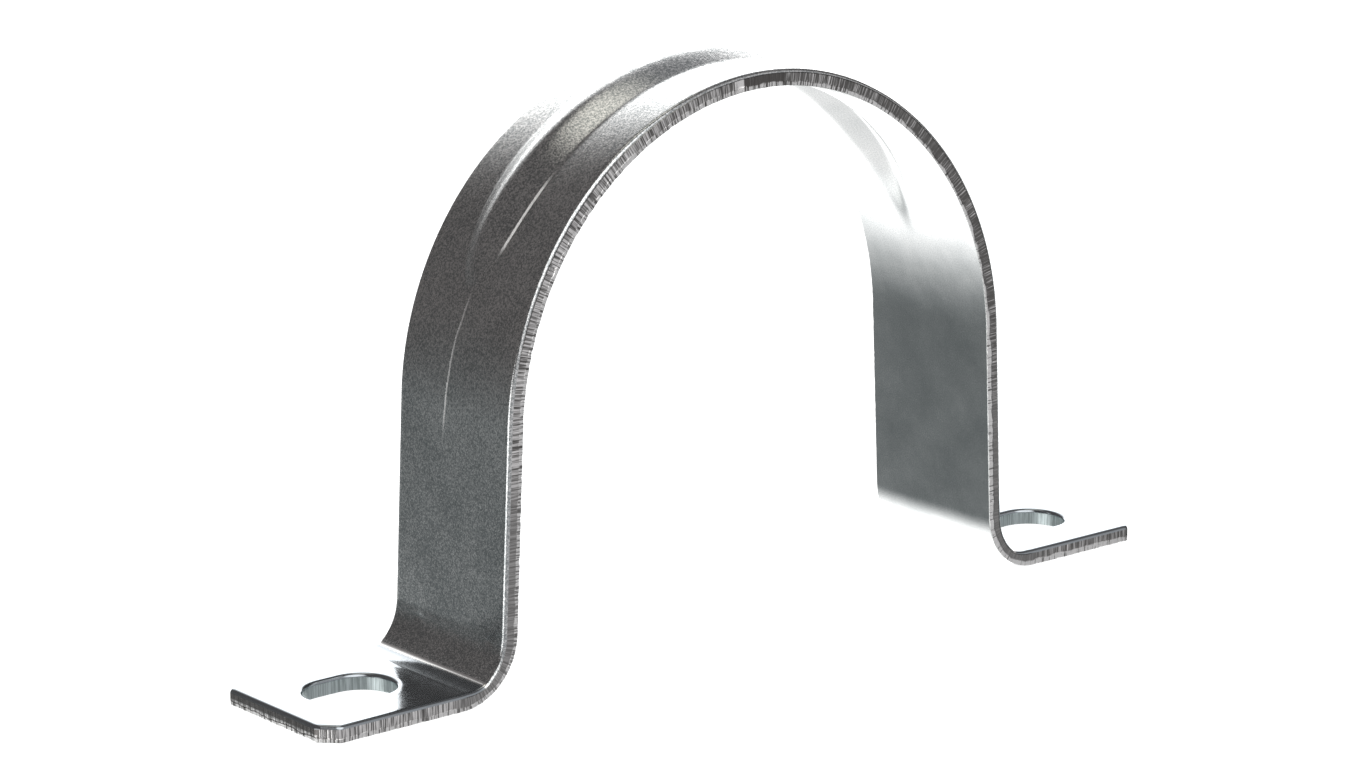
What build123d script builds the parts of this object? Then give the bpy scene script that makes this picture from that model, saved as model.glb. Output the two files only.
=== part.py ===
from build123d import *
from build123d.topology import SkipClean
from math import cos, radians, sin
import os

# A two-hole pipe saddle strap: one length of sheared steel strip, bent over a pipe
# and turned out into two slotted feet, with a stiffening rib pressed out of the arch.
#
# The underside of the feet is the plane Z = 0, the pipe runs along Y, and the feet
# point along X. The origin lies midway between the feet, under the arch. A lift is
# a height above the strip's under face, which is the face that meets pipe and wall.

# Sizes in millimetres, angles in degrees
PIPE_DIAMETER = 88.9
PIPE_CLEARANCE = 0.4
ARCH_CENTRE_HEIGHT = 37.6

STRIP_WIDTH = 26.0
STRIP_THICKNESS = 2.5
SHEAR_ROLL_RADIUS = 0.45

LEG_SPLAY = 2.6
FOOT_BEND_RADIUS = 7.3
CORNER_CLIP = 2.6

SLOT_WIDTH = 10.5
SLOT_LENGTH = 14.0
SLOT_TO_BEND = 3.3
SLOT_TO_FOOT_END = 6.2

RIB_HEIGHT = 1.9
RIB_WIDTH = 11.6
RIB_RUN_OUT_ANGLE = 71.0

# The arch is drawn as a crown and two shoulders. The rib's channel runs past the crown's
# ends, so it leaves the crown two lands for the pipe, one on each side of the channel.
CROWN_ANGLE = 60.0

# Points closer together than this count as one
TOUCHING = 0.001

# Sizes that follow from those above
BORE_RADIUS = PIPE_DIAMETER / 2 + PIPE_CLEARANCE
CROWN_RADIUS = BORE_RADIUS + STRIP_THICKNESS
BEND_OUTER_RADIUS = FOOT_BEND_RADIUS + STRIP_THICKNESS

LEG_DROP = ARCH_CENTRE_HEIGHT + BORE_RADIUS * sin(radians(LEG_SPLAY))
BEND_DROP = BEND_OUTER_RADIUS * (1 - sin(radians(LEG_SPLAY)))
LEG_LENGTH = (LEG_DROP - BEND_DROP) / cos(radians(LEG_SPLAY))
BEND_CENTRE_X = (
    (BORE_RADIUS + BEND_OUTER_RADIUS) * cos(radians(LEG_SPLAY))
    + LEG_LENGTH * sin(radians(LEG_SPLAY))
)
SLOT_CENTRE_X = BEND_CENTRE_X + SLOT_TO_BEND + SLOT_LENGTH / 2
FOOT_END_X = SLOT_CENTRE_X + SLOT_LENGTH / 2 + SLOT_TO_FOOT_END

# The rib's section is an arc, carried round a circle whose centre lies above the arch's
# own, so that the rib is highest at the crown and sinks into the strip at its run-outs.
RIB_SECTION_RADIUS = ((RIB_WIDTH / 2) ** 2 + RIB_HEIGHT**2) / (2 * RIB_HEIGHT)
RIB_CENTRE_RISE = RIB_HEIGHT / (1 - cos(radians(RIB_RUN_OUT_ANGLE)))
RIB_SPINE_RADIUS = CROWN_RADIUS + RIB_HEIGHT - RIB_SECTION_RADIUS - RIB_CENTRE_RISE


def strip_line(lift):
    """The strip's side view at one lift, as lines and arcs from foot to foot."""
    arch_centre = (0, ARCH_CENTRE_HEIGHT)
    radius = BORE_RADIUS + lift
    crown = CenterArc(arch_centre, radius, 90 - CROWN_ANGLE, 2 * CROWN_ANGLE)
    shoulder = CenterArc(arch_centre, radius, LEG_SPLAY, 90 - CROWN_ANGLE - LEG_SPLAY)
    bend = CenterArc(
        (BEND_CENTRE_X, BEND_OUTER_RADIUS),
        BEND_OUTER_RADIUS - lift,
        180 + LEG_SPLAY,
        90 - LEG_SPLAY,
    )
    leg = Line(shoulder @ 0, bend @ 0)
    foot = Line(bend @ 1, (FOOT_END_X, lift))
    right = [shoulder, leg, bend, foot]
    return [crown, *right, *(mirror(edge, about=Plane.YZ) for edge in right)]


def blank_plan():
    """The strip seen from above: straight sides, and corners clipped at 45 degrees."""
    rectangle = Rectangle(2 * FOOT_END_X, STRIP_WIDTH)
    return chamfer(rectangle.vertices(), CORNER_CLIP)


def bent_strip():
    """The whole bent strip, with square edges and no holes."""
    ends = [
        Line((x, 0), (x, STRIP_THICKNESS)) for x in (-FOOT_END_X, FOOT_END_X)
    ]
    side_view = make_face([*strip_line(0), *strip_line(STRIP_THICKNESS), *ends])
    far_side = Plane.XZ.offset(-STRIP_WIDTH / 2)
    strip = extrude(far_side * side_view, STRIP_WIDTH, clean=False)
    return strip & extrude(blank_plan(), ARCH_CENTRE_HEIGHT + CROWN_RADIUS)


def slot_punches():
    """The punches of the two fixing slots, each along its foot."""
    places = Locations((-SLOT_CENTRE_X, 0), (SLOT_CENTRE_X, 0))
    outlines = [place * SlotOverall(SLOT_LENGTH, SLOT_WIDTH) for place in places]
    return extrude(Sketch() + outlines, amount=STRIP_THICKNESS)


def borders_upper_face(edge):
    """Whether an edge lies between the strip's upper face and one of its cut faces."""
    point = edge @ 0.5
    upper_line = Plane.XZ * (Curve() + strip_line(STRIP_THICKNESS))
    on_upper_face = upper_line.distance_to(Vector(point.X, 0, point.Z)) < TOUCHING
    runs_across = abs((edge % 0.5).Y) > 1 - TOUCHING
    return on_upper_face and not (runs_across and abs(point.X) < FOOT_END_X - TOUCHING)


def roll_sheared_edges(strap):
    """Rounds the upper edges, where the shear drew the strip down before it cut."""
    return fillet(strap.edges().filter_by(borders_upper_face), SHEAR_ROLL_RADIUS)


def rib_tool(section_radius):
    """A ring of round section whose crest rises through the arch between the run-outs."""
    ring = Torus(RIB_SPINE_RADIUS, section_radius, rotation=(90, 0, 0))
    return Pos(0, 0, ARCH_CENTRE_HEIGHT + RIB_CENTRE_RISE) * ring


def press_rib(strap):
    """Raises the rib over the arch and sinks its channel into the bore side."""
    mid_wall = Cylinder(BORE_RADIUS + STRIP_THICKNESS / 2, STRIP_WIDTH, rotation=(90, 0, 0))
    above_springing = Pos(0, 0, ARCH_CENTRE_HEIGHT) * Box(
        4 * CROWN_RADIUS,
        STRIP_WIDTH,
        2 * CROWN_RADIUS,
        align=(Align.CENTER, Align.CENTER, Align.MIN),
    )
    raised = rib_tool(RIB_SECTION_RADIUS) & above_springing
    raised -= Pos(0, 0, ARCH_CENTRE_HEIGHT) * mid_wall
    channel = rib_tool(RIB_SECTION_RADIUS - STRIP_THICKNESS)
    return strap + raised - channel


def main():
    """Builds the strap and writes it to the parts folder."""
    with SkipClean():
        strap = bent_strip() - slot_punches()
        strap = roll_sheared_edges(strap)
        strap = press_rib(strap)
    os.makedirs("parts", exist_ok=True)
    export_step(strap, "parts/strap.step")


main()
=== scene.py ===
"""Dresses the pipe saddle strap: its plated steel, its sheared edges and its studio.

The strap is made as it is in the works. A flat blank with clipped corners and two
punched slots comes first, and a node tree then presses the rib into it and bends it
to the arch, the legs and the feet. Everything is in metres, in the part's own frame:
+X from foot to foot, +Y along the pipe, +Z away from the wall.
"""

import logging
import math
from dataclasses import dataclass, field
from enum import Enum
from typing import Any, Sequence

import bpy
from mathutils import Matrix, Vector, noise


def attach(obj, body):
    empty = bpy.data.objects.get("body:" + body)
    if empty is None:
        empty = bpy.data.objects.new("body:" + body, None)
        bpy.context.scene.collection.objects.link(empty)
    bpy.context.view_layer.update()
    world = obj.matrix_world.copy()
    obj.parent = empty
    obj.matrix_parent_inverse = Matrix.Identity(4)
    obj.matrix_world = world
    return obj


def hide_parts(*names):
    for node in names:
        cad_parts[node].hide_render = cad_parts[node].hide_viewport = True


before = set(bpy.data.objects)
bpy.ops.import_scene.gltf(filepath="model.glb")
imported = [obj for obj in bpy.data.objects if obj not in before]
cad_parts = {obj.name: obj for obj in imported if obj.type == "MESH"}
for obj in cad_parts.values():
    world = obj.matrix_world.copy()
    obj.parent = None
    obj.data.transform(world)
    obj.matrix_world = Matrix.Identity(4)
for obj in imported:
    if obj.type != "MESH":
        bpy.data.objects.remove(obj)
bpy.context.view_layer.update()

LOG = logging.getLogger("strap")
MM = 0.001
PHOTO_WIDTH = 1360

Point = tuple[float, float]
# Where a soft step is 0, and where it is 1.
Span = tuple[float, float]
Triple = tuple[float, float, float]
Colour = tuple[float, float, float, float]


class Layer(Enum):
    """The values that the blank's mesh carries for its finish."""

    PLACE = "flat_place"
    SHEARED = "sheared"
    PUNCHED = "punched"


class Term:
    """One number or vector in a node tree, which Python's operators add nodes to."""

    def __init__(self, graph: "Graph", socket: bpy.types.NodeSocket) -> None:
        """Wraps an output socket of a tree.

        Args:
            graph: The tree that the socket is in.
            socket: The output that gives the value.
        """
        self.graph = graph
        self.socket = socket

    def with_(self, operation: str, *others: Any) -> "Term":
        """Applies a named operation of the Math node to this value.

        Args:
            operation: The operation's name, such as SINE or SMOOTH_MAX.
            others: Its other values.

        Returns:
            The result.
        """
        return self.graph.math(operation, self, *others)

    def __add__(self, other: Any) -> "Term":
        """This value plus another."""
        return self.with_("ADD", other)

    def __sub__(self, other: Any) -> "Term":
        """This value less another."""
        return self.with_("SUBTRACT", other)

    def __mul__(self, other: Any) -> "Term":
        """This value times another."""
        return self.with_("MULTIPLY", other)

    def __truediv__(self, other: Any) -> "Term":
        """This value divided by another."""
        return self.with_("DIVIDE", other)

    def __pow__(self, other: Any) -> "Term":
        """This value raised to a power."""
        return self.with_("POWER", other)

    def __rsub__(self, other: Any) -> "Term":
        """Another value less this one."""
        return self.graph.math("SUBTRACT", other, self)

    __radd__ = __add__
    __rmul__ = __mul__

    def held(self, low: Any, high: Any) -> "Term":
        """This value, kept between two others."""
        return self.with_("MAXIMUM", low).with_("MINIMUM", high)

    def step(self, start: float, end: float) -> "Term":
        """A soft step of this value.

        Args:
            start: Where the step is 0.
            end: Where it is 1, which may be below the start.

        Returns:
            The height of the step, from 0 to 1.
        """
        rising = start < end
        made = self.graph.node(
            "ShaderNodeMapRange",
            {"interpolation_type": "SMOOTHSTEP"},
            {
                "Value": self,
                "From Min": min(start, end),
                "From Max": max(start, end),
                "To Min": 0.0 if rising else 1.0,
                "To Max": 1.0 if rising else 0.0,
            },
        )
        return Term(self.graph, made.outputs["Result"])


class Graph:
    """Adds nodes to one node tree."""

    def __init__(self, tree: bpy.types.NodeTree) -> None:
        """Takes the tree that the nodes go into."""
        self.tree = tree

    def node(
        self,
        kind: str,
        settings: dict[str, Any] | None = None,
        inputs: dict[Any, Any] | None = None,
    ) -> bpy.types.Node:
        """Adds one node.

        Args:
            kind: The node's type.
            settings: Its settings, set first.
            inputs: What its sockets take, each a value or a term.

        Returns:
            The node.
        """
        made = self.tree.nodes.new(kind)
        for name, value in (settings or {}).items():
            setattr(made, name, value)
        for name, value in (inputs or {}).items():
            if isinstance(value, Term):
                self.tree.links.new(value.socket, made.inputs[name])
            else:
                made.inputs[name].default_value = value
        return made

    def math(self, operation: str, *values: Any) -> Term:
        """Adds a Math node.

        Args:
            operation: What it does.
            values: Its values, in order.

        Returns:
            Its result.
        """
        made = self.node("ShaderNodeMath", {"operation": operation}, dict(enumerate(values)))
        return Term(self, made.outputs[0])

    def out(self, kind: str, output: Any, settings: Any = None, inputs: Any = None) -> Term:
        """Adds a node and gives one of its outputs.

        Args:
            kind: The node's type.
            output: The output's name or number.
            settings: As for node.
            inputs: As for node.

        Returns:
            The output.
        """
        return Term(self, self.node(kind, settings, inputs).outputs[output])

    def parts(self, vector: Term) -> tuple[Term, Term, Term]:
        """Splits a vector into its three numbers."""
        made = self.node("ShaderNodeSeparateXYZ", None, {0: vector})
        return tuple(Term(self, made.outputs[i]) for i in range(3))

    def vector(self, x: Any, y: Any, z: Any) -> Term:
        """Joins three numbers into a vector."""
        return self.out("ShaderNodeCombineXYZ", 0, None, {0: x, 1: y, 2: z})

    def mixed(self, share: Any, first: Any, second: Any) -> Term:
        """Mixes two colours.

        Args:
            share: How much there is of the second.
            first: One colour.
            second: The other colour.

        Returns:
            The mixed colour.
        """
        # A Mix node has a socket of each name for every data type; these are the colour ones.
        made = self.node("ShaderNodeMix", {"data_type": "RGBA"}, {0: share, 6: first, 7: second})
        return Term(self, made.outputs[2])

    def grain(self, place: Term, scale: float, detail: float = 2.0, rough: float = 0.5) -> Term:
        """A noise pattern.

        Args:
            place: Where it is read.
            scale: How fine it is.
            detail: How many finer layers it has.
            rough: How strong those are.

        Returns:
            Its height, around 0.5.
        """
        inputs = {"Vector": place, "Scale": scale, "Detail": detail, "Roughness": rough}
        return self.out("ShaderNodeTexNoise", "Fac", None, inputs)


@dataclass(frozen=True)
class StripSizes:
    """The strap's sizes: its solid's own, but for the rib.

    The rib is as high as the solid's. Its section is a soft roof, where the solid's is an
    arc, and it runs out a little earlier.
    """

    bore_radius: float = 44.85 * MM
    arch_centre_height: float = 37.6 * MM
    width: float = 26.0 * MM
    thickness: float = 2.5 * MM
    splay: float = math.radians(2.6)
    foot_bend_radius: float = 7.3 * MM
    foot_flat: float = 23.5 * MM
    corner_clip: float = 2.6 * MM
    slot_width: float = 10.5 * MM
    slot_length: float = 14.0 * MM
    slot_middle_to_end: float = 13.2 * MM
    rib_height: float = 1.9 * MM
    rib_slope: float = 0.454
    rib_ridge: float = 1.1 * MM
    channel_ridge: float = 0.4 * MM
    rib_run_out: float = math.radians(66.0)
    rib_fade: float = 6.0
    ridge_spread: float = 2.0

    @property
    def turn(self) -> float:
        """How far the strip turns from the crown to a leg, and back into a foot."""
        return math.pi / 2 - self.splay

    @property
    def bend_radius(self) -> float:
        """The radius of a foot's bend, on the strip's under face."""
        return self.foot_bend_radius + self.thickness

    @property
    def leg(self) -> float:
        """The length of a straight leg."""
        drop = self.arch_centre_height + self.bore_radius * math.sin(self.splay)
        return (drop - self.bend_radius * (1 - math.sin(self.splay))) / math.cos(self.splay)

    @property
    def arch_run(self) -> float:
        """From the crown to a leg, along the under face."""
        return self.bore_radius * self.turn

    @property
    def bend_run(self) -> float:
        """The length of a foot's bend, along the under face."""
        return self.bend_radius * self.turn

    @property
    def half_run(self) -> float:
        """From the crown to the end of a foot, along the under face."""
        return self.arch_run + self.leg + self.bend_run + self.foot_flat


def rib_rise(sizes: StripSizes, angle: Term, across: Term, ridge: float) -> Term:
    """How high the rib stands over the strip.

    Args:
        sizes: The strip's sizes.
        angle: The angle from the crown.
        across: The place across the strip, from the rib's middle.
        ridge: How round its ridge is.

    Returns:
        Its height, which is negative outside it.
    """
    share = (angle / sizes.rib_run_out) ** sizes.rib_fade
    rounding = (1 + share * sizes.ridge_spread) * ridge
    flank = (across * across + rounding * rounding).with_("SQRT") - rounding
    return (1 - share) * sizes.rib_height - flank * sizes.rib_slope


@dataclass(frozen=True)
class SheetEdge:
    """The section of an edge that was sheared or punched from above."""

    roll: float = 0.62 * MM
    roll_steps: int = 7
    corner: float = 0.07 * MM
    burr: float = 0.17 * MM
    smooth_share: float = 0.66
    rows: int = 9
    # How far down the cut face its first row lies, in rows.
    first_row: float = 0.25
    # How far in the inner row of the under face lies, in corners.
    under_row: float = 2.5
    break_depth: float = 0.05 * MM
    break_wave: float = 0.25 * MM
    break_blend: float = 0.35 * MM
    break_pits: float = 0.8
    wave_per_mm: float = 0.35
    pits_per_mm: Point = (1.3, 2.0)
    pits_layer: float = 7.0
    burr_share: float = 0.15
    burr_lean: float = 0.6
    burr_reach: float = 1.0 * MM
    # Each layer's strength, its fineness per millimetre and its place in the noise.
    burr_layers: tuple[Triple, ...] = ((1.0, 0.8, 3.0), (0.7, 2.1, 9.0))

    def levels(self, thickness: float) -> list[Triple]:
        """The rows of the edge between the upper and the under face.

        Args:
            thickness: The sheet's thickness.

        Returns:
            For each row how far out it lies, its height, and how much of it is cut face.
        """
        made = []
        for i in range(1, self.roll_steps + 1):
            angle = math.pi / 2 * i / self.roll_steps
            out = self.roll * math.sin(angle)
            height = thickness - self.roll * (1 - math.cos(angle))
            made.append((out, height, float(i == self.roll_steps)))
        top = thickness - self.roll
        for i in range(self.rows):
            share = (i + self.first_row) / self.rows
            made.append((self.roll, top + (self.corner - top) * share, 1.0))
        made.append((self.roll, self.corner, 1.0))
        made.append((self.roll - self.corner, 0.0, 0.0))
        made.append((self.roll - self.under_row * self.corner, 0.0, 0.0))
        return made


@dataclass
class Mark:
    """A small dent or nick that the strap has picked up."""

    place: Triple
    reach: Triple
    push: Triple

    def shift(self, point: Vector) -> Vector:
        """How far the mark moves a point of the blank."""
        spread = sum(((point[i] - self.place[i]) / self.reach[i]) ** 2 for i in range(3))
        return Vector(self.push) * math.exp(-spread)


@dataclass
class Blank:
    """The flat strip, with clipped corners and two punched slots."""

    sizes: StripSizes
    edge: SheetEdge
    columns: int = 52
    step: float = 0.5 * MM
    slot_rings: int = 9
    ring_bias: float = 1.15
    marks: Sequence[Mark] = ()
    points: list[Point] = field(default_factory=list)
    quads: list[tuple[int, ...]] = field(default_factory=list)

    @property
    def face_half_width(self) -> float:
        """Half of the width of the flat upper face, inside the rolled edges."""
        return self.sizes.width / 2 - self.edge.roll

    def stations(self) -> list[float]:
        """Where the cross rows of the strip lie, from foot to foot."""
        s = self.sizes
        legs = s.arch_run + s.leg
        spans = [
            (0.0, s.arch_run, self.step),
            (s.arch_run, legs, self.step),
            (legs, legs + s.bend_run, self.step / 2),
            (legs + s.bend_run, legs + s.bend_run + self.step, self.step),
        ]
        right = [0.0]
        for start, end, step in spans:
            count = max(1, round((end - start) / step))
            right += [start + (end - start) * i / count for i in range(1, count + 1)]
        return [-run for run in reversed(right[1:])] + right

    def add(self, run: float, across: float) -> int:
        """Adds a point of the plan and gives its number."""
        self.points.append((run, across))
        return len(self.points) - 1

    def slot_point(self, direction: float) -> Point:
        """A point on the slot's rolled outline, seen from the slot's middle."""
        radius = self.sizes.slot_width / 2 + self.edge.roll
        straight = (self.sizes.slot_length - self.sizes.slot_width) / 2
        cos, sin = math.cos(direction), math.sin(direction)
        if abs(cos) * radius <= abs(sin) * straight:
            return radius * cos / abs(sin), math.copysign(radius, sin)
        along = abs(cos) * straight
        reach = along + math.sqrt(along**2 - straight**2 + radius**2)
        return reach * cos, reach * sin

    def foot_outline(self, inner_run: float) -> list[Point]:
        """The foot's outline from its near inner corner round its end to its far one."""
        half = self.face_half_width
        end = self.sizes.half_run - self.edge.roll
        # A clipped corner moves in by the roll at right angles to its own line.
        clip = self.sizes.corner_clip - self.edge.roll * (2 - math.sqrt(2))
        corners = [(inner_run, -half), (end - clip, -half), (end, -half + clip)]
        corners += [(end, half - clip), (end - clip, half), (inner_run, half)]
        made = []
        for start, stop in zip(corners, corners[1:]):
            count = max(2, round(math.dist(start, stop) / self.step))
            for i in range(count):
                share = i / count
                made.append(tuple(a + (b - a) * share for a, b in zip(start, stop)))
        return made

    def foot(self, side: int, inner: list[int]) -> tuple[list[int], list[int]]:
        """Adds a foot, as rings of faces between its outline and its slot.

        Args:
            side: 1 for the right foot and -1 for the left one.
            inner: The points of the strip that the foot continues, near to far.

        Returns:
            The points of the outline, near to far, and those of the slot.
        """
        outline = self.foot_outline(abs(self.points[inner[0]][0]))
        middle = self.sizes.half_run - self.sizes.slot_middle_to_end
        outer = [inner[0]] + [self.add(side * run, across) for run, across in outline[1:]]
        ring = outer + inner[:0:-1]
        spots = [(abs(self.points[i][0]), self.points[i][1]) for i in ring]
        hole = [self.slot_point(math.atan2(y, run - middle)) for run, y in spots]
        previous = ring
        for k in range(1, self.slot_rings + 1):
            share = (k / self.slot_rings) ** self.ring_bias
            current = [
                self.add(side * (a + (middle + u - a) * share), b + (v - b) * share)
                for (a, b), (u, v) in zip(spots, hole)
            ]
            for i in range(len(ring)):
                j = (i + 1) % len(ring)
                quad = (previous[i], previous[j], current[j], current[i])
                self.quads.append(quad if side > 0 else quad[::-1])
            previous = current
        return outer, previous

    def lay_out(self) -> list[tuple[Layer, list[int]]]:
        """Lays out the whole plan.

        Returns:
            The outlines, each with the cut it shows and its points. The steel is on the
            left of each.
        """
        half = self.face_half_width
        rows = [
            [self.add(run, -half + 2 * half * j / self.columns) for j in range(self.columns + 1)]
            for run in self.stations()
        ]
        for near, far in zip(rows, rows[1:]):
            for j in range(self.columns):
                self.quads.append((near[j], far[j], far[j + 1], near[j + 1]))
        right_edge, right_slot = self.foot(1, rows[-1])
        left_edge, left_slot = self.foot(-1, rows[0])
        edge = right_edge + [row[-1] for row in reversed(rows)]
        edge += left_edge[:0:-1] + [row[0] for row in rows[:-1]]
        return [
            (Layer.SHEARED, edge),
            (Layer.PUNCHED, right_slot[::-1]),
            (Layer.PUNCHED, left_slot),
        ]

    def outward(self, loop: Sequence[int]) -> list[Point]:
        """How far each point of an outline moves when the outline grows by one.

        Args:
            loop: The outline's points.

        Returns:
            The move of each point, along the run and across it.
        """
        spots = [Vector(self.points[i]) for i in loop]
        normals = []
        for here, there in zip(spots, spots[1:] + spots[:1]):
            along = (there - here).normalized()
            normals.append(Vector((along.y, -along.x)))
        moves = []
        for before, after in zip(normals[-1:] + normals[:-1], normals):
            middle = (before + after).normalized()
            moves.append(tuple(middle / middle.dot(before)))
        return moves

    def wall_shift(self, layer: Layer, spot: Vector) -> float:
        """How far a cut face lies back where the steel broke instead of being cut."""
        if layer is Layer.PUNCHED:
            return 0.0
        edge = self.edge
        run = spot.x / MM
        wave = noise.noise(Vector((run * edge.wave_per_mm, spot.y / MM, 0.0)))
        line = (1 - edge.smooth_share) * self.sizes.thickness + wave * edge.break_wave
        below = min(max((line - spot.z) / edge.break_blend, 0.0), 1.0)
        along, up = edge.pits_per_mm
        pits = noise.noise(Vector((run * along, spot.z / MM * up, edge.pits_layer)))
        return below * edge.break_depth * (1.0 + edge.break_pits * pits)

    def burr_size(self, layer: Layer, run: float) -> float:
        """How far the steel tore away at the foot of a cut face."""
        if layer is Layer.PUNCHED:
            return 0.0
        ragged = sum(
            strength * noise.noise(Vector((run / MM * per_mm, layer_place, 0.0)))
            for strength, per_mm, layer_place in self.edge.burr_layers
        )
        return max(ragged + self.edge.burr_share, 0.0) * self.edge.burr

    def mesh(self) -> bpy.types.Mesh:
        """Builds the blank's mesh, with both faces and every edge.

        Returns:
            The mesh, with the run along X, the width along Y and the thickness along Z.
        """
        outlines = self.lay_out()
        count = len(self.points)
        thickness = self.sizes.thickness
        places = [Vector((*point, thickness)) for point in self.points]
        places += [Vector((*point, 0.0)) for point in self.points]
        faces = list(self.quads)
        faces += [tuple(count + i for i in reversed(quad)) for quad in self.quads]
        values = {Layer.SHEARED: {}, Layer.PUNCHED: {}}
        for layer, loop in outlines:
            moves = self.outward(loop)
            rows = [list(loop)]
            burrs = [self.burr_size(layer, self.points[i][0]) for i in loop]
            for out, height, cut in self.edge.levels(thickness):
                row = []
                for i, (u, v), burr in zip(loop, moves, burrs):
                    run, across = self.points[i]
                    # The last rows lie on the under face, where the burr draws them in.
                    reach = out if height else out - self.edge.burr_lean * burr
                    fade = max(1 - height / self.edge.burr_reach, 0.0)
                    torn = height + burr * fade if height else 0.0
                    spot = Vector((run + u * reach, across + v * reach, torn))
                    back = self.wall_shift(layer, spot) if cut else 0.0
                    values[layer][len(places)] = cut
                    row.append(len(places))
                    places.append(spot - Vector((u, v, 0.0)) * back)
                rows.append(row)
            rows.append([count + i for i in loop])
            for upper, lower in zip(rows, rows[1:]):
                for i in range(len(loop)):
                    j = (i + 1) % len(loop)
                    faces.append((upper[i], lower[i], lower[j], upper[j]))
        for mark in self.marks:
            places = [place + mark.shift(place) for place in places]
        mesh = bpy.data.meshes.new("blank")
        mesh.from_pydata(places, [], faces)
        for layer, known in values.items():
            shares = mesh.attributes.new(layer.value, "FLOAT", "POINT")
            for i, value in known.items():
                shares.data[i].value = value
        mesh.update()
        return mesh


@dataclass
class Strap:
    """The strap itself: its blank, pressed and bent."""

    sizes: StripSizes = field(default_factory=StripSizes)
    edge: SheetEdge = field(default_factory=SheetEdge)
    rib_shift: float = 1.1 * MM
    rib_foot_blend: float = 0.12 * MM
    channel_blend: float = 1.1 * MM
    crease_depth: float = 0.55 * MM
    crease_run: float = 9.6 * MM
    crease_rise: float = 8.1 * MM
    crease_fall: float = 4.2 * MM
    crease_blend: float = 0.12
    marks: Sequence[Mark] = (
        # Two nicks in the near edge.
        Mark((-5.0 * MM, -13.0 * MM, 0.9 * MM), (0.5 * MM, 0.6 * MM, 0.8 * MM), (0, 0.35 * MM, 0)),
        Mark((-46.0 * MM, -13.0 * MM, 1.0 * MM), (0.4 * MM, 0.6 * MM, 0.6 * MM), (0, 0.5 * MM, 0)),
        # Two dents at the left bend.
        Mark((-101.0 * MM, 7.0 * MM, 2.5 * MM), (0.9 * MM, 0.7 * MM, 1.5 * MM), (0, 0, -0.12 * MM)),
        Mark(
            (-100.5 * MM, -10.0 * MM, 2.5 * MM),
            (0.8 * MM, 1.1 * MM, 1.5 * MM),
            (0, 0, -0.14 * MM),
        ),
    )

    def press_inputs(self) -> dict[str, float]:
        """The named sizes that the press and the bending tool take."""
        s = self.sizes
        return {
            "Bore Radius": s.bore_radius,
            "Arch Centre Height": s.arch_centre_height,
            "Thickness": s.thickness,
            "Turn": s.turn,
            "Leg Length": s.leg,
            "Bend Radius": s.bend_radius,
            "Rib Shift": self.rib_shift,
            "Rib Foot Blend": self.rib_foot_blend,
            "Channel Blend": self.channel_blend,
            "Crease Depth": self.crease_depth,
            "Crease Run": self.crease_run,
            "Crease Rise": self.crease_rise,
            "Crease Fall": self.crease_fall,
            "Crease Blend": self.crease_blend,
        }

    def press_tree(self, material: bpy.types.Material) -> bpy.types.NodeTree:
        """Builds the tree that presses the rib and bends the blank.

        Args:
            material: The strap's finish.

        Returns:
            The tree.
        """
        tree = bpy.data.node_groups.new("press_and_bend", "GeometryNodeTree")
        tree.interface.new_socket(name="Blank", in_out="INPUT", socket_type="NodeSocketGeometry")
        tree.interface.new_socket(name="Strap", in_out="OUTPUT", socket_type="NodeSocketGeometry")
        for name in self.press_inputs():
            tree.interface.new_socket(name=name, in_out="INPUT", socket_type="NodeSocketFloat")
        graph = Graph(tree)
        taken = graph.node("NodeGroupInput")
        size = {name: Term(graph, taken.outputs[name]) for name in self.press_inputs()}
        place = graph.out("GeometryNodeInputPosition", 0)
        along, across, lift = graph.parts(place)

        run = along.with_("ABSOLUTE")
        arch_run = size["Bore Radius"] * size["Turn"]
        angle = (run / size["Bore Radius"]).with_("MINIMUM", size["Turn"])
        leg = (run - arch_run).held(0.0, size["Leg Length"])
        past_leg = run - arch_run - size["Leg Length"]
        bent = (past_leg / size["Bend Radius"]).held(0.0, size["Turn"])
        foot = (past_leg - size["Bend Radius"] * size["Turn"]).with_("MAXIMUM", 0.0)

        ribbed = across - size["Rib Shift"]
        pressed = rib_rise(self.sizes, angle, ribbed, self.sizes.rib_ridge)
        channel = rib_rise(self.sizes, angle, ribbed, self.sizes.channel_ridge)
        raised_over = pressed.with_("SMOOTH_MAX", 0.0, size["Rib Foot Blend"])
        raised_under = channel.with_("SMOOTH_MAX", 0.0, size["Channel Blend"])
        share = lift / size["Thickness"]
        raised = share * raised_over + (1 - share) * raised_under
        past_crease = past_leg - size["Crease Run"]
        before = 1 + past_crease / size["Crease Rise"]
        after = 1 - past_crease / size["Crease Fall"]
        valley = before.with_("SMOOTH_MIN", after, size["Crease Blend"]).with_("MAXIMUM", 0.0)
        raised -= share * size["Crease Depth"] * valley
        height = lift + raised

        lean = angle - bent
        before_bend = size["Turn"] - bent
        x = size["Bore Radius"] * angle.with_("SINE") + leg * size["Turn"].with_("COSINE")
        x += size["Bend Radius"] * (size["Turn"].with_("SINE") - before_bend.with_("SINE"))
        x += foot + height * lean.with_("SINE")
        z = size["Arch Centre Height"] + size["Bore Radius"] * angle.with_("COSINE")
        z -= leg * size["Turn"].with_("SINE")
        z += size["Bend Radius"] * (size["Turn"].with_("COSINE") - before_bend.with_("COSINE"))
        z += height * lean.with_("COSINE")

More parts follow.
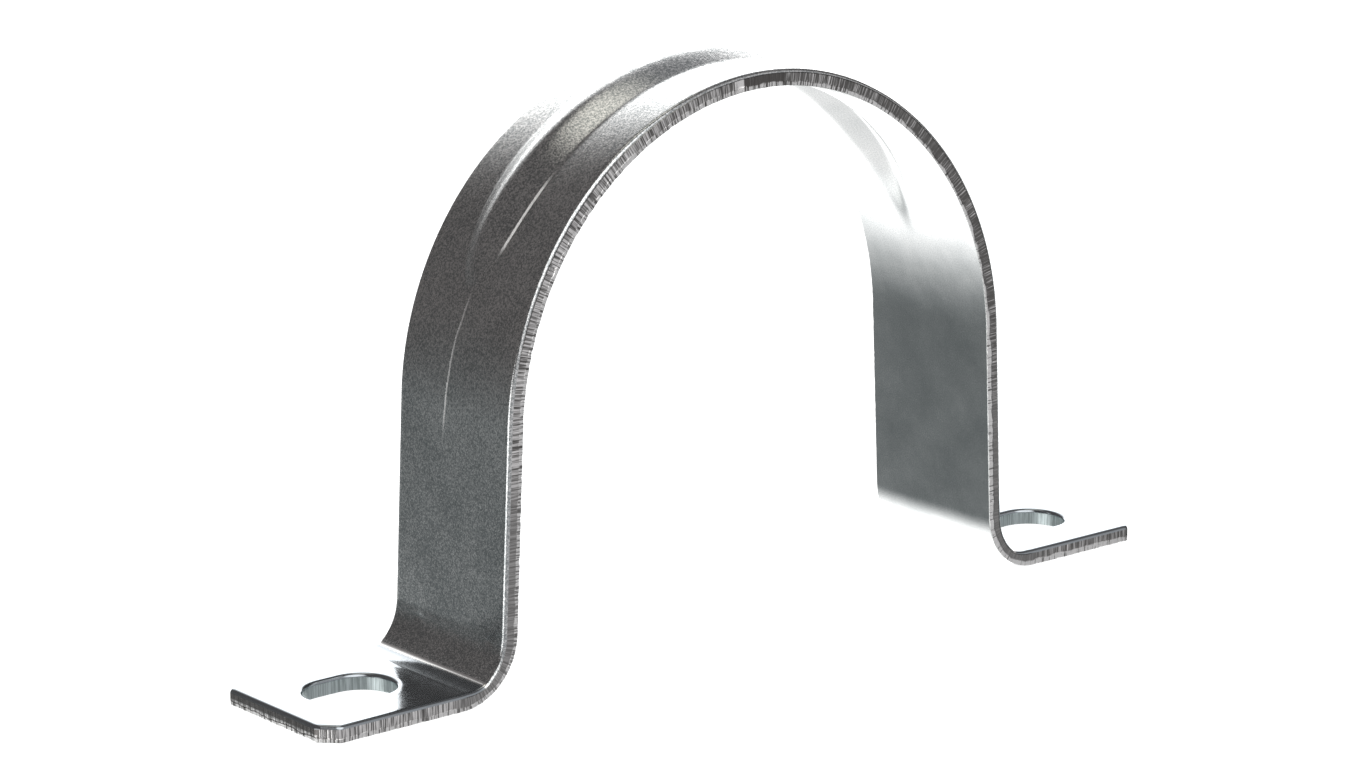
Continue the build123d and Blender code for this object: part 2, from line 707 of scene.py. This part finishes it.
        kept = graph.out(
            "GeometryNodeStoreNamedAttribute",
            "Geometry",
            {"data_type": "FLOAT_VECTOR", "domain": "POINT"},
            {
                "Geometry": Term(graph, taken.outputs["Blank"]),
                "Name": Layer.PLACE.value,
                "Value": place,
            },
        )
        shaped = graph.out(
            "GeometryNodeSetPosition",
            "Geometry",
            None,
            {"Geometry": kept, "Position": graph.vector(along.with_("SIGN") * x, across, z)},
        )
        realized = graph.out("GeometryNodeRealizeInstances", 0, None, {0: shaped})
        finished = graph.out(
            "GeometryNodeSetMaterial", 0, None, {"Geometry": realized, "Material": material}
        )
        graph.node("NodeGroupOutput", None, {"Strap": finished})
        return tree

    def build(self, material: bpy.types.Material) -> bpy.types.Object:
        """Builds the strap.

        Args:
            material: Its finish.

        Returns:
            The strap, a plain mesh at the origin.
        """
        flat = Blank(self.sizes, self.edge, marks=self.marks).mesh()
        blank = bpy.data.objects.new("blank", flat)
        bpy.context.scene.collection.objects.link(blank)
        press = blank.modifiers.new("press_and_bend", "NODES")
        press.node_group = self.press_tree(material)
        sizes = self.press_inputs()
        for item in press.node_group.interface.items_tree:
            if item.in_out == "INPUT" and item.name in sizes:
                press[item.identifier] = sizes[item.name]
        depsgraph = bpy.context.evaluated_depsgraph_get()
        mesh = bpy.data.meshes.new_from_object(blank.evaluated_get(depsgraph), depsgraph=depsgraph)
        bpy.data.objects.remove(blank)
        mesh.name = "plated_strap"
        mesh.shade_smooth()
        strap = bpy.data.objects.new("plated_strap", mesh)
        bpy.context.scene.collection.objects.link(strap)
        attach(strap, "root")
        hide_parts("strap")
        return strap


@dataclass(frozen=True)
class ZincPlate:
    """Satin zinc over rolled steel, with bare-looking sheared edges."""

    strap: Strap
    name: str = "zinc_plated_steel"
    pit_tone: Colour = (0.37, 0.395, 0.4, 1.0)
    # The colour of the bright grain and the scratch, and of the painted highlights at the crease
    # and the rib's near foot.
    grain_and_highlight_tone: Colour = (1.0, 0.995, 0.985, 1.0)
    foot_plate_tone: Colour = (0.42, 0.455, 0.485, 1.0)
    plain_tone: Colour = (0.27, 0.265, 0.26, 1.0)
    smeared_tone: Colour = (0.12, 0.112, 0.108, 1.0)
    shear_dark: Colour = (0.15, 0.145, 0.14, 1.0)
    shear_bright: Colour = (1.0, 0.98, 0.97, 1.0)
    break_tone: Colour = (0.92, 0.91, 0.9, 1.0)
    punch_tone: Colour = (0.62, 0.69, 0.695, 1.0)
    punch_dark: Colour = (0.36, 0.41, 0.41, 1.0)
    roughness: float = 0.14
    grain_depth: float = 0.023 * MM
    ripple_depth: float = 0.015 * MM
    wave_depth: float = 0.045 * MM
    streak_depth: float = 0.09 * MM
    broken_depth: float = 0.2 * MM
    # The crosswise bow is a form that the mesh doesn't have: its curve, and its middle.
    bow: float = 2.9
    bow_middle: float = -1.7 * MM
    scratch_start: Point = (-51.5 * MM, 0.5 * MM)
    scratch_slope: float = -0.095
    scratch_end: Span = (-74 * MM, -69 * MM)
    scratch_fade: float = 3 * MM
    scratch_edge: Span = (0.26 * MM, 0.06 * MM)
    line_start: Span = (32 * MM, 37 * MM)
    line_end: Span = (48 * MM, 44 * MM)
    line_edge: Span = (0.12 * MM, 0.06 * MM)
    cloud_scale: float = 130.0
    ripple_scale: float = 900.0
    speckle_scale: float = 4200.0
    # How fine the streaks of a cut face are along the face, and how fine up it.
    coarse_streaks: Point = (3300.0, 120.0)
    fine_streaks: Point = (6400.0, 260.0)
    upper_face: Span = (0.6 * MM, 1.8 * MM)
    under_skin: float = 0.15
    right_side: Span = (5 * MM, 32 * MM)
    painted_leg_shade: Span = (64 * MM, 78 * MM)
    torn_edge: Span = (0.8 * MM, 0.55 * MM)
    crease_highlight_edge: Span = (0.6 * MM, 0.3 * MM)
    past_crease: Span = (0.3 * MM, 0.9 * MM)
    smeared_start: Span = (-4.4 * MM, -4.1 * MM)
    smeared_end: Span = (3.4 * MM, 3.1 * MM)
    plain_start: Span = (72 * MM, 84 * MM)
    plain_end: Span = (117 * MM, 113 * MM)
    nick_place: float = -5.1 * MM
    nick_edge: Span = (1.0 * MM, 0.7 * MM)

    def scratch(self, along: Term, across: Term, wander: Term) -> Term:
        """The long pale scratch on the left leg.

        Args:
            along: The place along the strip.
            across: The place across it.
            wander: How far the scratch strays.

        Returns:
            How much of it there is, from 0 to 1.
        """
        run, side = self.scratch_start
        line = (along - run) * self.scratch_slope + side
        near = (across - line + wander).with_("ABSOLUTE").step(*self.scratch_edge)
        return near * along.step(*self.scratch_end) * along.step(run, run - self.scratch_fade)

    def rib_highlight_line(self, along: Term, across: Term, upper: Term) -> Term:
        """A painted highlight line along the rib's near foot.

        Args:
            along: The place along the strip.
            across: The place across it.
            upper: Whether the place is on the upper face.

        Returns:
            How much of it there is, from 0 to 1.
        """
        sizes = self.strap.sizes
        run = along.with_("ABSOLUTE")
        ribbed = across - self.strap.rib_shift
        rise = rib_rise(sizes, run / sizes.bore_radius, ribbed, sizes.rib_ridge)
        line = rise.with_("ABSOLUTE").step(*self.line_edge) * ribbed.step(0.0, -1.0 * MM)
        return line * upper * run.step(*self.line_start) * run.step(*self.line_end)

    def build(self) -> bpy.types.Material:
        """Builds the material.

        Returns:
            The material.
        """
        material = bpy.data.materials.new(self.name)
        material.use_nodes = True
        material.node_tree.nodes.clear()
        graph = Graph(material.node_tree)
        place = graph.out("ShaderNodeAttribute", "Vector", {"attribute_name": Layer.PLACE.value})
        sheared = graph.out("ShaderNodeAttribute", "Fac", {"attribute_name": Layer.SHEARED.value})
        punched = graph.out("ShaderNodeAttribute", "Fac", {"attribute_name": Layer.PUNCHED.value})
        along, across, lift = graph.parts(place)

        run = along.with_("ABSOLUTE")
        upper = lift.step(*self.upper_face)

        # The patterns are read on the flat blank, so they bend with the steel.
        clouds = graph.grain(place, self.cloud_scale)
        ripple = graph.grain(place, self.ripple_scale, 1.0)
        speckle = graph.grain(place, self.speckle_scale, 2.0, 0.8)
        coarse, fine = (
            graph.grain(graph.vector(along * plan, across * plan, lift * up), 1.0)
            for plan, up in (self.coarse_streaks, self.fine_streaks)
        )
        wander = graph.grain(place, 420.0, 3.0) - 0.5
        right = along.step(*self.right_side)
        torn_less = right * (0.25 - run.step(60 * MM, 74 * MM) * 0.45)
        broken = (lift + wander * (0.9 * MM) + torn_less * MM).step(*self.torn_edge)
        stray = graph.grain(place, 90.0) * (1.4 * MM) - 0.7 * MM
        scratch = self.scratch(along, across, stray)

        # The plated faces are dark in their pits and bright between. The legs' upper faces are
        # a little darker, which is painted shade, and painted highlights lie along the crease
        # lines and the rib's near foot.
        skin = self.under_skin + upper * (1 - self.under_skin)
        leg = run.step(*self.painted_leg_shade) * upper
        grain = (speckle - 0.5) * skin + (clouds - 0.5) * 0.12 - leg * 0.035
        painted_rib_highlight = self.rib_highlight_line(along, across, upper)
        valley = self.strap.sizes.arch_run + self.strap.sizes.leg + self.strap.crease_run
        # A painted highlight along the crease line of each foot's bend, which also takes grain out
        # of the bump there.
        crease_highlight = (run - valley).with_("ABSOLUTE").step(*self.crease_highlight_edge) * upper
        bright = grain.step(-0.15, 0.17) + scratch + painted_rib_highlight + crease_highlight
        plate = graph.mixed(bright, self.pit_tone, self.grain_and_highlight_tone)
        # The feet past the crease take a darker, bluer plate with less grain.
        foot_plate_from, foot_plate_to = (valley + past for past in self.past_crease)
        foot_plate = run.step(foot_plate_from, foot_plate_to) * upper
        plate = graph.mixed(foot_plate * 0.9, plate, self.foot_plate_tone)

        # The cut faces are streaked, smeared dark at the crown and on the feet's ends, and
        # torn low down. Their streaks are darker on the right half, most of all over the right
        # arch, and fade in over the 32 mm left of the crown: this is painted shade.
        smeared = along.step(*self.smeared_start) * along.step(*self.smeared_end)
        smeared = smeared + run.step(136.8 * MM, 137.0 * MM) * lift.step(1.0 * MM, 1.2 * MM)
        plain = run.step(*self.plain_start) * run.step(*self.plain_end)
        cut_face_shade = along.step(-32 * MM, 0.0) * 0.045 + right * run.step(74 * MM, 60 * MM) * 0.04
        streaks = coarse * 0.5 + fine * 0.5 - 0.5
        # The cut face is brighter at the near nick: the nick is in the mesh, but its brightening is
        # a painted highlight.
        nick = (along - self.nick_place).with_("ABSOLUTE").step(*self.nick_edge)
        nick = nick * (1 - upper * 0.3)
        struck = streaks - cut_face_shade + nick * 0.5
        shear = graph.mixed(struck.step(-0.1, 0.12), self.shear_dark, self.shear_bright)
        shear = graph.mixed(plain * 0.7 + right * 0.1, shear, self.plain_tone)
        shear = graph.mixed(smeared * 0.9, shear, self.smeared_tone)
        torn = (coarse + right * 0.08).step(0.42, 0.54)
        shear = graph.mixed(broken * torn, shear, self.break_tone)
        colour = graph.mixed(sheared, plate, shear)
        hole = graph.mixed(streaks.step(-0.12, 0.12), self.punch_dark, self.punch_tone)
        colour = graph.mixed(punched, colour, hole)

        rough = self.roughness + (clouds - 0.5) * 0.05 + (ripple - 0.5) * 0.1
        rough = rough + sheared * (0.1 + broken * 0.2) + punched * 0.25
        rough = rough + painted_rib_highlight * 0.75 + scratch * 0.3

        # The relief that only the light shows: the grain, the crosswise bow, the scratch, and
        # the streaks and the torn part of the cut faces.
        height = (speckle - 0.5) * self.grain_depth + (ripple - 0.5) * self.ripple_depth
        height = height * (skin - foot_plate * 0.85 - crease_highlight * 0.85) + (clouds - 0.5) * self.wave_depth
        off = across - self.bow_middle
        bowed = run.step(66 * MM, 50 * MM)
        bowed = bowed + run.step(88 * MM, 108 * MM) * run.step(117 * MM, 110 * MM) * 0.35
        height = height - off * off * self.bow * bowed * upper - scratch * (0.03 * MM)
        cut_height = streaks * self.streak_depth + ripple * broken * self.broken_depth
        height = height * (1 - sheared) + cut_height * sheared
        bump = graph.out(
            "ShaderNodeBump", "Normal", None, {"Strength": 1.0, "Distance": 1.0, "Height": height}
        )
        surface = graph.out(
            "ShaderNodeBsdfPrincipled",
            "BSDF",
            None,
            {"Base Color": colour, "Metallic": 1.0, "Roughness": rough, "Normal": bump},
        )
        graph.node("ShaderNodeOutputMaterial", None, {"Surface": surface})
        return material


@dataclass(frozen=True)
class Glow:
    """A soft bright or dark patch of the studio, seen from the strap."""

    towards: Triple
    inner: float
    outer: float
    colour: Triple

    def share(self, graph: Graph, direction: Term) -> Term:
        """How much of the patch shows in a direction.

        Args:
            graph: The studio's tree.
            direction: The direction looked in.

        Returns:
            From 0 outside the patch to 1 in it.
        """
        middle = tuple(Vector(self.towards).normalized())
        settings = {"operation": "DOT_PRODUCT"}
        inputs = {0: direction, 1: middle}
        facing = graph.out("ShaderNodeVectorMath", "Value", settings, inputs)
        return facing.step(math.cos(math.radians(self.outer)), math.cos(math.radians(self.inner)))


@dataclass
class Studio:
    """A white room with a pale floor, a grey side and soft boxes."""

    azimuth: float = math.radians(39.817)
    elevation: float = math.radians(14.294)
    distance: float = 619.695 * MM
    focal_pixels: float = 4184.727
    target: Triple = (-5.539 * MM, 0.0, 36.791 * MM)
    sensor: float = 36.0
    floor_half: float = 3.0
    floor_drop: float = 0.02 * MM
    floor_tone: float = 0.7
    floor_glow: float = 0.72
    low_grey: Triple = (0.188, 0.207, 0.211)
    high_grey: Triple = (0.121, 0.114, 0.113)
    back_white: float = 2.5
    floor_white: float = 1.12
    grey_rise: Span = (-0.5, 0.25)
    white_lean: float = 0.53
    white_side: Span = (-0.486, 0.3)
    white_rear: Span = (0.09, 0.374)
    gap_rear: Span = (0.88, 0.94)
    gap_side: Span = (0.32, 0.0)
    floor_turn: Span = (-0.6, -0.9)
    glows: Sequence[Glow] = (
        Glow((0.1, -0.97, -0.22), 45.0, 80.0, (0.52, 0.52, 0.53)),
        Glow((0.505, 0.303, 0.808), 12.0, 30.0, (0.27, 0.27, 0.28)),
        Glow((0.02, 0.12, 0.99), 2.0, 20.0, (0.95, 0.93, 0.86)),
        Glow((-0.25, -0.75, 0.62), 20.0, 34.0, (1.8, 1.8, 1.8)),
        Glow((-0.97, 0.0, -0.25), 12.0, 26.0, (2.0, 2.0, 2.0)),
        Glow((-0.72, 0.17, -0.66), 12.0, 26.0, (1.2, 1.22, 1.2)),
    )

    def camera(self) -> bpy.types.Object:
        """Makes the camera, with the photo's angle and framing.

        Returns:
            The camera, which is the scene's own.
        """
        cos_e, sin_e = math.cos(self.elevation), math.sin(self.elevation)
        cos_a, sin_a = math.cos(self.azimuth), math.sin(self.azimuth)
        back = Vector((-sin_a * cos_e, -cos_a * cos_e, sin_e))
        right = Vector((cos_a, -sin_a, 0.0))
        up = back.cross(right)
        lens = bpy.data.cameras.new("camera")
        lens.sensor_width = self.sensor
        lens.lens = self.focal_pixels * self.sensor / PHOTO_WIDTH
        lens.clip_start = 0.01
        lens.clip_end = 50.0
        made = bpy.data.objects.new("camera", lens)
        turned = Matrix((right, up, back)).transposed().to_4x4()
        made.matrix_world = Matrix.Translation(Vector(self.target) + back * self.distance) @ turned
        bpy.context.scene.collection.objects.link(made)
        bpy.context.scene.camera = made
        return made

    def surroundings(self) -> bpy.types.World:
        """Makes the room that the steel mirrors, white behind the camera's view.

        Returns:
            The world, which is the scene's own.
        """
        world = bpy.data.worlds.new("studio")
        world.use_nodes = True
        world.node_tree.nodes.clear()
        graph = Graph(world.node_tree)
        direction = graph.out("ShaderNodeTexCoord", "Generated")
        x, y, z = graph.parts(direction)
        low, high = (*self.low_grey, 1.0), (*self.high_grey, 1.0)
        room = graph.mixed(z.step(*self.grey_rise), low, high)
        for glow in self.glows:
            room = graph.mixed(glow.share(graph, direction), room, (*glow.colour, 1.0))
        # The white field leans with its height, draws back far behind the strap and widens
        # below it. A gap in it, straight behind, fades the far flank.
        turned = x - self.white_lean * z - (y - 0.8).with_("MAXIMUM", 0.0) * 0.6
        turned = turned - (z + 0.7).with_("MINIMUM", 0.0) * 2.0
        white = turned.step(*self.white_side) * (y - 0.35 * z).step(*self.white_rear)
        white = white * (1 - y.step(*self.gap_rear) * x.step(*self.gap_side))
        back = (*(self.back_white,) * 3, 1.0)
        below = (*(self.floor_white,) * 3, 1.0)
        room = graph.mixed(white, room, graph.mixed(z.step(*self.floor_turn), back, below))
        mirrored = graph.out("ShaderNodeBackground", 0, None, {"Color": room, "Strength": 1.0})
        plain = graph.out(
            "ShaderNodeBackground", 0, None, {"Color": (1.0, 1.0, 1.0, 1.0), "Strength": 1.0}
        )
        glossy = graph.out("ShaderNodeLightPath", "Is Glossy Ray")
        shown = graph.out("ShaderNodeMixShader", 0, None, {0: glossy, 1: plain, 2: mirrored})
        graph.node("ShaderNodeOutputWorld", None, {"Surface": shown})
        bpy.context.scene.world = world
        return world

    def floor(self) -> bpy.types.Object:
        """Lays the pale floor.

        Returns:
            The floor, which is staged.
        """
        half = self.floor_half
        mesh = bpy.data.meshes.new("floor")
        corners = [(-half, -half), (half, -half), (half, half), (-half, half)]
        mesh.from_pydata([(x, y, -self.floor_drop) for x, y in corners], [], [(0, 1, 2, 3)])
        material = bpy.data.materials.new("floor_paper")
        material.use_nodes = True
        material.node_tree.nodes.clear()
        graph = Graph(material.node_tree)
        inputs = {
            "Base Color": (*(self.floor_tone,) * 3, 1.0),
            "Roughness": 1.0,
            "Specular IOR Level": 0.0,
            "Emission Color": (1.0, 1.0, 1.0, 1.0),
            "Emission Strength": self.floor_glow,
        }
        surface = graph.out("ShaderNodeBsdfPrincipled", "BSDF", None, inputs)
        graph.node("ShaderNodeOutputMaterial", None, {"Surface": surface})
        mesh.materials.append(material)
        made = bpy.data.objects.new("floor", mesh)
        made.visible_glossy = False
        bpy.context.scene.collection.objects.link(made)
        return made


def main() -> None:
    """Builds the strap, its finish and its studio, and reports each."""
    logging.basicConfig(level=logging.INFO, format="%(message)s")
    bpy.context.scene.view_settings.view_transform = "Standard"
    form = Strap()
    strap = form.build(ZincPlate(form).build())
    LOG.info("%s: %d faces", strap.name, len(strap.data.polygons))
    studio = Studio()
    for made in (studio.camera(), studio.surroundings(), studio.floor()):
        LOG.info("%s is in place", made.name)


if __name__ == "__main__":
    main()
